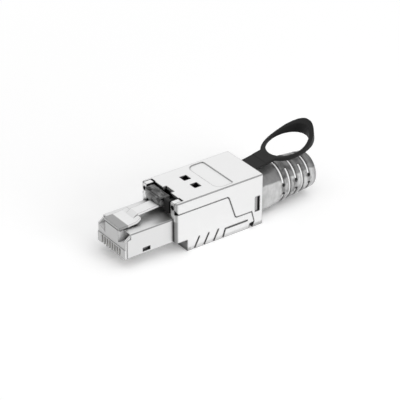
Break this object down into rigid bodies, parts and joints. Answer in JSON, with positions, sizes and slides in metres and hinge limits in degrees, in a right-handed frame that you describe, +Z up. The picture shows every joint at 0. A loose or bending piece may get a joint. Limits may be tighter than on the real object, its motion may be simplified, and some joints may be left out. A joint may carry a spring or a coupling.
{
  "type": "field termination ethernet plug",
  "caption": "Shielded field-termination ethernet plug with a hinged die-cast cover, sprung latch, pull ring and slotted cable boot.",
  "frame": {"origin": "middle of the bounding box's bottom face, under the die-cast body", "axes": "+X from the nose to the cable end, +Y across to the left seen from the cable end, +Z up to the latch side"},
  "size_m": [0.0578, 0.0142, 0.0192],
  "materials": {
    "plated_zinc": "satin nickel-plated die casting",
    "shield_steel": "bright plated sheet",
    "steel": "bright",
    "clear_plastic": "clear",
    "smoke_plastic": "smoke tinted",
    "black_plastic": "matte",
    "boot_plastic": "translucent",
    "grey_plastic": "matte",
    "terminal_plastic": "matte",
    "board": "solder mask",
    "gold": "gold plated",
    "tin": "tin plated"
  },
  "bodies": {
    "plug_body": {"lower_housing": "plated_zinc", "hinge_pin_left": "steel", "hinge_pin_right": "steel", "plug_shield": "shield_steel", "plug_nose": "clear_plastic", "circuit_board": "board", "terminal_block": "terminal_plastic", "contact_1": "gold", "contact_2": "gold", "contact_3": "gold", "contact_4": "gold", "contact_5": "gold", "contact_6": "gold", "contact_7": "gold", "contact_8": "gold", "terminal_blade_1": "tin", "terminal_blade_2": "tin", "terminal_blade_3": "tin", "terminal_blade_4": "tin", "terminal_blade_5": "tin", "terminal_blade_6": "tin", "terminal_blade_7": "tin", "terminal_blade_8": "tin"},
    "latch": {"latch_lever": "clear_plastic", "release_paddle": "smoke_plastic"},
    "cover": {"top_cover": "plated_zinc", "wire_manager": "terminal_plastic", "cable_gland": "grey_plastic", "shield_spring": "steel", "boot": "boot_plastic"},
    "pull": {"pull_strap": "black_plastic"}
  },
  "joints": [
    {"name": "latch_flex", "type": "hinge", "parent": "plug_body", "child": "latch", "pos_m": [-0.02795, 0, 0.00905], "axis": [0, 1, 0], "range_deg": [0, 5], "stiffness_Nm_per_rad": 0.01},
    {"name": "cover_hinge", "type": "hinge", "parent": "plug_body", "child": "cover", "pos_m": [-0.0143, 0, 0.0125], "axis": [0, -1, 0], "range_deg": [0, 75]},
    {"name": "pull_slide", "type": "slide", "parent": "cover", "child": "pull", "axis": [1, 0, 0], "range_m": [0, 0.0015]}
  ],
  "couplings": [
    {"joint": "latch_flex", "follows": "pull_slide", "rad_per_m": 58.18}
  ]
}
